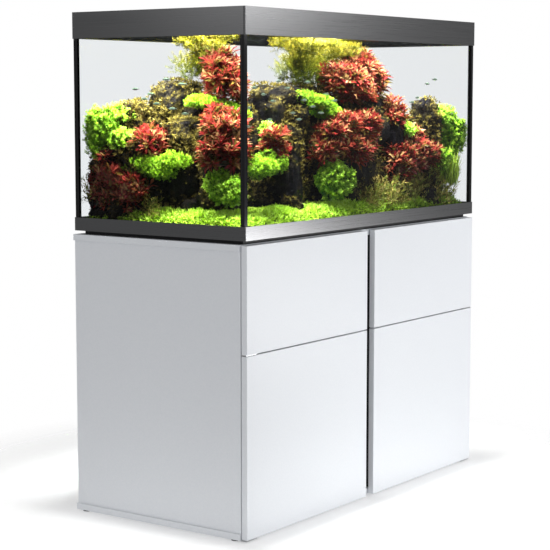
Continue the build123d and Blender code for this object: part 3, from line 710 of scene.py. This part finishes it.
# Painted shade: the colour is multiplied by a ramp on height, dark and greener at the foot of the clouds and
# untouched at the top.
shade = ramp(tree, rise.outputs["Result"], ((0.0, (0.2, 0.36, 0.4)), (0.5, (0.6, 0.8, 0.8)), (1.0, (1, 1, 1))))
colour_in_painted_shade = tree.nodes.new("ShaderNodeMix")
colour_in_painted_shade.data_type = "RGBA"
colour_in_painted_shade.blend_type = "MULTIPLY"
colour_in_painted_shade.inputs["Factor"].default_value = 1
tree.links.new(own_colour, colour_in_painted_shade.inputs["A"])
tree.links.new(shade, colour_in_painted_shade.inputs["B"])
for node in tree.nodes:
    if node.bl_idname == "ShaderNodeBsdfTranslucent":
        tree.links.new(colour_in_painted_shade.outputs["Result"], node.inputs["Color"])
tree.links.new(colour_in_painted_shade.outputs["Result"], shader.inputs["Base Color"])
clouds = lump_surface("stem_clouds", (
    (-0.325, 0.03, 1.16, 0.07, 0.07, 0.058), (-0.375, -0.02, 1.185, 0.045, 0.045, 0.034),
    (-0.27, 0.06, 1.175, 0.06, 0.06, 0.045), (-0.01, -0.05, 1.165, 0.06, 0.05, 0.054),
    (0.06, -0.03, 1.17, 0.08, 0.06, 0.05), (0.15, 0.0, 1.18, 0.08, 0.06, 0.044),
    (0.1, -0.11, 1.205, 0.09, 0.05, 0.022), (-0.055, -0.075, 1.185, 0.04, 0.035, 0.036),
    (0.19, -0.08, 1.2, 0.07, 0.05, 0.026), (-0.2, -0.19, 1.224, 0.15, 0.045, 0.009),
    (-0.09, -0.12, 1.215, 0.11, 0.07, 0.016), (-0.478, -0.11, 1.224, 0.045, 0.09, 0.009),
    (-0.4, -0.02, 1.212, 0.07, 0.07, 0.018)), 5, 9, (1.0, 0.6))
fine_stem = sprig("fine_stem", 0.03, 5, 3, 0.01, 0.0044, 0.35, 7, stem=0.0005, taper=0.4)
yellow_stems = gather("yellow_stems", [plant(clouds, fine_stem, yellow_leaf, 4300, (0.55, 0.85), 0.5, 0.8, 41)],
                      [clouds, fine_stem])
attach(yellow_stems, ROOT)
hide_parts("stem_plants")

# ---------------------------------------------------------------- red plants
# Bushy stems with folded lance-shaped leaves about 25 to 45 mm long, wine red to rust and olive, in cushions on
# the banks' shoulders and at their foot.
red_leaf = leaf_material("red_leaf", ((0.018, 0.017, 0.003), (0.095, 0.062, 0.01), (0.12, 0.012, 0.009),
                                      (0.17, 0.012, 0.012), (0.23, 0.042, 0.024), (0.32, 0.19, 0.075)), 0.28,
                         0.3)
red_cushions = lump_surface("red_cushions", (
    (0.075, -0.14, 1.125, 0.066, 0.046, 0.042), (0.15, -0.13, 1.145, 0.068, 0.048, 0.046),
    (0.215, -0.125, 1.12, 0.048, 0.04, 0.05), (0.115, -0.165, 1.09, 0.06, 0.034, 0.03),
    (-0.4, -0.092, 1.14, 0.048, 0.044, 0.048), (-0.37, -0.075, 1.105, 0.042, 0.04, 0.036),
    (-0.05, -0.195, 0.975, 0.068, 0.042, 0.05), (0.055, -0.192, 0.995, 0.074, 0.042, 0.046),
    (0.01, -0.198, 0.94, 0.092, 0.042, 0.042), (-0.1, -0.2, 0.945, 0.03, 0.034, 0.036),
    (-0.452, -0.128, 1.002, 0.05, 0.044, 0.052), (-0.468, -0.14, 0.95, 0.044, 0.044, 0.042),
    (0.31, -0.2, 0.935, 0.072, 0.04, 0.05), (0.38, -0.202, 0.905, 0.06, 0.04, 0.046),
    (0.27, -0.204, 0.89, 0.062, 0.038, 0.044), (0.256, -0.19, 1.03, 0.03, 0.028, 0.042),
    (-0.515, 0.165, 0.885, 0.036, 0.056, 0.05), (-0.515, 0.13, 0.845, 0.036, 0.056, 0.044),
    (-0.515, 0.205, 0.84, 0.03, 0.044, 0.044), (-0.47, 0.09, 0.97, 0.044, 0.048, 0.028),
    (-0.32, -0.19, 0.965, 0.034, 0.03, 0.028)), 6, 6)
bushy = sprig("bushy", 0.018, 3, 3, 0.043, 0.011, 0.55, 9, stem=0.0008, taper=0.3, fold=True)
red_stems = gather("red_stems", [plant(red_cushions, bushy, red_leaf, 3000, (0.6, 1.0), 0.8, 0.45, 51)],
                   [red_cushions, bushy])
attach(red_stems, ROOT)
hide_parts("red_plants")

# ---------------------------------------------------------------- green bushes
# Dense bright green cushions: a broad-leaved bush at the back of the left end, one in the right front corner,
# and two round balls low at the front.
green_leaf = leaf_material("green_leaf", ((0.04, 0.11, 0.004), (0.2, 0.4, 0.014), (0.42, 0.68, 0.08)))
green_cushions = lump_surface("green_cushions", (
    (-0.5, 0.205, 1.005, 0.044, 0.042, 0.052), (-0.47, 0.185, 1.035, 0.036, 0.036, 0.034),
    (-0.5, 0.165, 0.965, 0.042, 0.042, 0.036), (-0.532, 0.232, 1.01, 0.014, 0.02, 0.05),
    (-0.532, 0.232, 0.95, 0.014, 0.02, 0.044), (0.495, -0.22, 0.995, 0.05, 0.034, 0.06),
    (0.515, -0.205, 0.92, 0.034, 0.04, 0.056), (0.515, -0.17, 1.015, 0.036, 0.056, 0.05),
    (0.525, -0.232, 0.96, 0.022, 0.024, 0.07), (0.46, -0.225, 0.9, 0.04, 0.026, 0.034),
    (-0.08, -0.208, 0.858, 0.052, 0.044, 0.05), (-0.48, -0.155, 0.858, 0.046, 0.048, 0.05),
    (0.29, -0.2, 0.995, 0.034, 0.026, 0.018), (-0.285, -0.15, 0.985, 0.024, 0.024, 0.04),
    (0.53, -0.238, 0.985, 0.024, 0.022, 0.066), (-0.522, 0.236, 0.985, 0.03, 0.026, 0.056)), 7)
leafy = sprig("leafy", 0.014, 3, 4, 0.012, 0.0052, 0.35, 13, stem=0.0006)
green_leaves = gather("green_leaves", [plant(green_cushions, leafy, green_leaf, 6400, (0.55, 1.05), 1.0, 0.5,
                                             61)],
                      [green_cushions, leafy])
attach(green_leaves, ROOT)
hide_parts("green_bushes")

# ---------------------------------------------------------------- bright shelves of moss
# Bright lime cushions of short moss on the ledges below the dark tops and in front of the cave.
bright_leaf = leaf_material("bright_leaf", ((0.04, 0.1, 0.003), (0.18, 0.36, 0.01), (0.36, 0.58, 0.05)), 0.5)
bright_cushions = lump_surface("bright_cushions", (
    (-0.425, -0.045, 1.072, 0.05, 0.044, 0.016), (-0.4, -0.085, 1.052, 0.05, 0.036, 0.018),
    (-0.36, -0.095, 1.035, 0.036, 0.03, 0.016), (-0.11, -0.165, 1.068, 0.052, 0.034, 0.017),
    (-0.06, -0.165, 1.052, 0.05, 0.034, 0.018), (-0.015, -0.155, 1.036, 0.034, 0.03, 0.016),
    (-0.49, 0.1, 0.912, 0.054, 0.06, 0.02), (-0.485, 0.05, 0.905, 0.05, 0.05, 0.024),
    (-0.47, 0.01, 0.925, 0.044, 0.04, 0.02),
    (-0.4, -0.21, 0.914, 0.052, 0.036, 0.028), (-0.345, -0.2, 0.925, 0.036, 0.036, 0.026),
    (-0.15, -0.16, 1.084, 0.036, 0.03, 0.012)), 8, 12)
short_moss = sprig("short_moss", 0.007, 3, 3, 0.0075, 0.0028, 0.6, 15, stem=0)
bright_moss = gather("bright_moss", [plant(bright_cushions, short_moss, bright_leaf, 7500, (0.7, 1.2), 1.0,
                                           0.5, 71)],
                     [bright_cushions, short_moss])
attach(bright_moss, ROOT)


# ---------------------------------------------------------------- wiry plants
# Thin olive-brown stems with grassy leaves along the foot of the right bank and in the far left corner.
def stand_surface(name, stands):
    """Small round beds for upright stems, with a height for each point: tallest in the middle."""
    data = bmesh.new()
    heights = []
    for number, (x, y, z, radius, height) in enumerate(stands):
        rings, spokes = 6, 20
        centre = data.verts.new((x, y, z))
        heights.append(height)
        before = [centre] * spokes
        for ring in range(1, rings + 1):
            share = ring / rings
            line = []
            for k in range(spokes):
                angle = 2 * math.pi * k / spokes
                reach = radius * share * (1 + 0.18 * math.sin(3 * angle + number))
                line.append(data.verts.new((x + reach * math.cos(angle), y + reach * math.sin(angle),
                                            z - 0.25 * radius * share ** 2)))
                heights.append(height * (1 - 0.42 * share ** 2 + 0.08 * math.sin(5 * angle + number)))
            for k in range(spokes):
                corners = [before[k], line[k], line[(k + 1) % spokes], before[(k + 1) % spokes]]
                data.faces.new(list(dict.fromkeys(corners)))
            before = line
    data.verts.index_update()
    bmesh.ops.recalc_face_normals(data, faces=data.faces)
    piece = finish_mesh(name, data, carpet_leaf)
    own_number(piece.data, "cover", [1.0] * len(heights))
    own_number(piece.data, "grow", heights)
    return piece


STEM_MODEL = 0.1  # the wiry sprig is modelled this tall, and scaled to the height of its place
wiry_leaf = leaf_material("wiry_leaf", ((0.04, 0.03, 0.006), (0.2, 0.14, 0.022), (0.17, 0.25, 0.032),
                                        (0.46, 0.36, 0.1)), 0.5)
wiry_beds = stand_surface("wiry_beds", (
    (0.09, -0.2, 0.782, 0.04, 0.85), (0.15, -0.2, 0.782, 0.04, 1.05), (0.22, -0.2, 0.782, 0.04, 0.85),
    (0.33, -0.2, 0.782, 0.04, 0.75), (0.41, -0.2, 0.782, 0.04, 0.95), (0.48, -0.195, 0.782, 0.04, 1.15),
    (0.51, -0.15, 0.782, 0.035, 1.3), (-0.526, 0.232, 0.82, 0.022, 1.1), (-0.5, 0.06, 0.782, 0.03, 0.65),
    (-0.455, 0.175, 0.93, 0.04, 0.4), (0.25, -0.19, 0.84, 0.06, 0.8), (0.42, -0.17, 0.85, 0.06, 0.75)))
wiry = sprig("wiry", STEM_MODEL, 8, 2, 0.03, 0.005, 0.55, 17, stem=0.0006, taper=0.2)
wiry_plants = gather("wiry_plants", [plant(wiry_beds, wiry, wiry_leaf, 1500, (0.5, 1.05), 0.0, 0.9, 81)],
                     [wiry_beds, wiry])
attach(wiry_plants, ROOT)

# ---------------------------------------------------------------- grass in the right corner
# A bright clump of narrow upright blades against the right end pane.
grass_leaf = leaf_material("grass_leaf", ((0.12, 0.2, 0.012), (0.36, 0.52, 0.035), (0.56, 0.74, 0.11)), 0.45,
                           0.35)
grass_beds = stand_surface("grass_beds", (
    (0.49, -0.225, 0.83, 0.034, 1.25), (0.525, -0.205, 0.83, 0.024, 1.45), (0.52, -0.15, 0.9, 0.03, 1.2)))
blade = sprig("blade", 0.02, 2, 3, 0.11, 0.004, 1.15, 19, stem=0, taper=0.1)
grass = gather("corner_grass", [plant(grass_beds, blade, grass_leaf, 420, (0.6, 1.0), 0.0, 0.25, 91)],
               [grass_beds, blade])
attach(grass, ROOT)

# ---------------------------------------------------------------- fish
# A shoal of small silvery-green fish, all turned much the same way along the tank. Each has a flat-sided body,
# a forked tail and a back fin; the back is darker than the belly.
FISH_LENGTH = 0.026


def spread(index, step, low, high):
    """An evenly scattered value between two limits for the fish with this index."""
    return low + (high - low) * (index * step % 1)


def add_fish(data, place, heading):
    """One fish along its heading: eight-sided rings for the body, and thin fins."""
    shade = data.verts.layers.float.verify()
    turn = Matrix.Translation(place) @ Matrix.Rotation(math.radians(heading), 4, "Z")
    profile = ((0.0, 0.05), (0.08, 0.42), (0.25, 0.86), (0.42, 1.0), (0.62, 0.72), (0.8, 0.34), (0.88, 0.26))
    rings = []
    for along, size in profile:
        ring = []
        for k in range(8):
            angle = 2 * math.pi * k / 8
            point = Vector(((0.5 - along) * FISH_LENGTH, 0.0019 * size * math.cos(angle),
                            0.0034 * size * math.sin(angle)))
            vert = data.verts.new(turn @ point)
            vert[shade] = 0.5 + 0.5 * math.sin(angle)
            ring.append(vert)
        rings.append(ring)
    for first, second in zip(rings, rings[1:]):
        for k in range(8):
            data.faces.new((first[k], second[k], second[(k + 1) % 8], first[(k + 1) % 8]))
    data.faces.new(rings[0])
    data.faces.new(list(reversed(rings[-1])))
    fins = (((-0.38, 0.0), (-0.5, 0.0034), (-0.46, 0.0), (-0.5, -0.0034)),
            ((0.05, 0.0026), (-0.06, 0.0034), (-0.2, 0.0026), (-0.18, 0.0016)),
            ((-0.05, -0.0028), (-0.18, -0.0034), (-0.22, -0.0024), (-0.2, -0.0014)))
    for fin in fins:
        for thick in (0.0002, -0.0002):
            corners = [data.verts.new(turn @ Vector((x * FISH_LENGTH, thick, z))) for x, z in fin]
            for vert in corners:
                vert[shade] = 0.3
            data.faces.new(corners if thick > 0 else list(reversed(corners)))


data = bmesh.new()
data.verts.layers.float.new("back")
FISH_IN_FRONT, FISH_AT_RIGHT, FISH_AT_LEFT = 16, 4, 8
for i in range(FISH_IN_FRONT):
    add_fish(data, Vector((spread(i, 0.618, -0.52, -0.12), spread(i, 0.755, -0.252, -0.244),
                           spread(i, 0.57, 1.015, 1.125))), spread(i, 0.382, -8, 8) + 180 * (i % 5 == 0))
for i in range(FISH_AT_RIGHT):
    add_fish(data, Vector((spread(i, 0.618, 0.25, 0.4), spread(i, 0.755, -0.252, -0.244),
                           spread(i, 0.57, 1.07, 1.16))), spread(i, 0.382, -8, 8))
for i in range(FISH_AT_LEFT):
    add_fish(data, Vector((spread(i, 0.755, -0.545, -0.532), spread(i, 0.618, -0.08, 0.11),
                           spread(i, 0.57, 1.045, 1.13))), 90 + spread(i, 0.382, -8, 8))
bmesh.ops.recalc_face_normals(data, faces=data.faces)
scales, tree, shader = shader_material("fish_scales", 0.5, 0.0)
tree.links.new(ramp(tree, attribute_value(tree, "back"), ((0.1, (0.3, 0.36, 0.29)), (0.5, (0.1, 0.14, 0.11)),
                                               (0.9, (0.03, 0.05, 0.03)))), shader.inputs["Base Color"])
relief(tree, shader, noise_value(tree, 900), 0.2, 0.0002)
shoal = finish_mesh("shoal", data, scales)
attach(shoal, ROOT)
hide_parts("fish")

# ---------------------------------------------------------------- water surface
# Still water just under the hood, faintly rippled. Seen from below it is a dark mirror with a little glitter,
# both painted: the mirror's colour is dark grey, a painted reflection of the black hood, and bright noise
# specks in it are painted glints; seen from above, with a lid open, it is nearly clear.
WATER_Z = 1.236
WATER_X, WATER_FRONT, WATER_DEPTH = 0.5535, -0.2645, 0.527
RIPPLE = 0.0006
data = bmesh.new()
columns, rows = 150, 72
grid = [[data.verts.new((-WATER_X + 2 * WATER_X * i / columns, WATER_FRONT + WATER_DEPTH * j / rows,
                         WATER_Z + RIPPLE * noise.noise(Vector((i * 0.13, j * 0.13, 0.5)))))
         for i in range(columns + 1)] for j in range(rows + 1)]
for j in range(rows):
    for i in range(columns):
        data.faces.new((grid[j][i], grid[j][i + 1], grid[j + 1][i + 1], grid[j + 1][i]))
water_skin, tree, output = empty_material("water_skin")
clear = add_node(tree, "ShaderNodeBsdfTransparent", Color=(0.93, 0.97, 0.96, 1))
mirror = add_node(tree, "ShaderNodeBsdfGlossy", Roughness=0.03)
# Painted reflection and glints: the mirror is tinted dark grey as if it mirrored the black hood, with bright
# specks from the noise.
painted_glints = noise_value(tree, 120, 3, (0.5, 0.5, 1), 0.6)
tree.links.new(ramp(tree, painted_glints, ((0.6, (0.12, 0.125, 0.12)), (0.66, (0.9, 0.95, 0.92)))),
               mirror.inputs["Color"])
edge_on = add_node(tree, "ShaderNodeFresnel", IOR=1.33)
ripple = add_node(tree, "ShaderNodeBump", Strength=0.8, Distance=0.012)
tree.links.new(noise_value(tree, 55, 2), ripple.inputs["Height"])
tree.links.new(ripple.outputs["Normal"], mirror.inputs["Normal"])
surface = mix_shaders(tree, edge_on.outputs["Fac"], clear.outputs["BSDF"], mirror.outputs["BSDF"])
tree.links.new(surface, output.inputs["Surface"])
water = finish_mesh("water_surface", data, water_skin)
water.visible_shadow = False
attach(water, ROOT)


# ---------------------------------------------------------------- floor, light and camera
# A pale floor that fades into a white room, one large soft lamp in front, three strips that the trims and the
# left side mirror, and the tank's own three lamps under the hood.
def area_light(name, place, target, size, power, colour=(1, 1, 1)):
    """A rectangular lamp that faces its target."""
    lamp = bpy.data.lights.new(name, "AREA")
    lamp.shape = "RECTANGLE"
    lamp.size, lamp.size_y = size
    lamp.energy = power
    lamp.color = colour
    holder = bpy.data.objects.new(name, lamp)
    bpy.context.scene.collection.objects.link(holder)
    holder.location = place
    holder.rotation_euler = (Vector(target) - Vector(place)).to_track_quat("-Z", "Y").to_euler()
    return holder


FLOOR_RADIUS = 3.2
FADE_FROM, FADE_TO = 0.55, 1.15
data = bmesh.new()
bmesh.ops.create_circle(data, cap_ends=True, segments=64, radius=FLOOR_RADIUS)
pale = bpy.data.materials.new("pale_floor")
pale.use_nodes = True
tree = pale.node_tree
shader = tree.nodes["Principled BSDF"]
shader.inputs["Roughness"].default_value = 0.9
shader.inputs["Emission Color"].default_value = (1, 1, 1, 1)
shader.inputs["Emission Strength"].default_value = 0.22
tree.links.new(ramp(tree, noise_value(tree, 30), ((0.3, (0.84, 0.84, 0.84)), (0.7, (0.86, 0.86, 0.86)))),
               shader.inputs["Base Color"])
place = tree.nodes.new("ShaderNodeTexCoord")
reach = tree.nodes.new("ShaderNodeVectorMath")
reach.operation = "LENGTH"
tree.links.new(place.outputs["Object"], reach.inputs[0])
fade = add_node(tree, "ShaderNodeMapRange", From_Min=FADE_FROM, From_Max=FADE_TO)
tree.links.new(reach.outputs["Value"], fade.inputs["Value"])
gone = tree.nodes.new("ShaderNodeBsdfTransparent")
faded = mix_shaders(tree, fade.outputs["Result"], shader.outputs["BSDF"], gone.outputs["BSDF"])
tree.links.new(faded, tree.nodes["Material Output"].inputs["Surface"])
floor = finish_mesh("floor", data, pale, smooth=False)

world = bpy.data.worlds.new("room")
bpy.context.scene.world = world
world.use_nodes = True
tree = world.node_tree
seen = tree.nodes["Background"]
seen.inputs["Color"].default_value = (1, 1, 1, 1)
seen.inputs["Strength"].default_value = 1.0
room = add_node(tree, "ShaderNodeBackground", Color=(0.99, 0.99, 1.0, 1), Strength=0.54)
mirrored = add_node(tree, "ShaderNodeBackground", Color=(0.98, 0.99, 1.0, 1), Strength=0.2)
rays = tree.nodes.new("ShaderNodeLightPath")
lit = mix_shaders(tree, rays.outputs["Is Glossy Ray"], room.outputs["Background"],
                  mirrored.outputs["Background"])
shown = mix_shaders(tree, rays.outputs["Is Camera Ray"], lit, seen.outputs["Background"])
tree.links.new(shown, tree.nodes["World Output"].inputs["Surface"])

area_light("key", (-1.3, -3.7, 2.3), (0, 0, 0.7), (2.6, 2.0), 8, (0.96, 0.98, 1.0))
area_light("upper_strip", (1.35, -1.9, 1.78), (-0.565, -0.3, 1.3), (0.62, 0.84), 8.5)
area_light("lower_strip", (1.35, -1.9, 0.29), (-0.565, -0.3, 0.7), (0.62, 0.46), 13)
area_light("side_strip", (-2.25, 0.92, 1.7), (-0.565, -0.27, 1.3), (0.5, 0.66), 1.2)
for name, place, target, size, power, cone in (
        ("tank_lamp", (0, -0.01, 1.258), (0, -0.01, 0.0), (1.06, 0.48), 36, 60),
        ("front_lamp", (0, -0.24, 1.25), (0, -0.13, 0.78), (1.06, 0.03), 10, 110),
        ("left_lamp", (-0.54, 0.02, 1.25), (-0.42, 0.02, 0.78), (0.46, 0.03), 8, 110)):
    lamp = area_light(name, place, target, size, power, (1.0, 1.0, 0.97))
    lamp.data.spread = math.radians(cone)
    lamp.visible_camera = False
    lamp.visible_glossy = False

camera = bpy.data.objects.new("camera", bpy.data.cameras.new("camera"))
bpy.context.scene.collection.objects.link(camera)
camera.location = (-3.664, -2.574, 1.094)
camera.data.sensor_width = 36
camera.data.lens = 105.9
PITCH = math.radians(6.4)
LEVEL_AHEAD = (0.8142, 0.5806)  # the direction of view before the camera is tipped down
ahead = Vector((LEVEL_AHEAD[0] * math.cos(PITCH), LEVEL_AHEAD[1] * math.cos(PITCH), -math.sin(PITCH)))
camera.rotation_euler = ahead.to_track_quat("-Z", "Y").to_euler()
bpy.context.scene.camera = camera
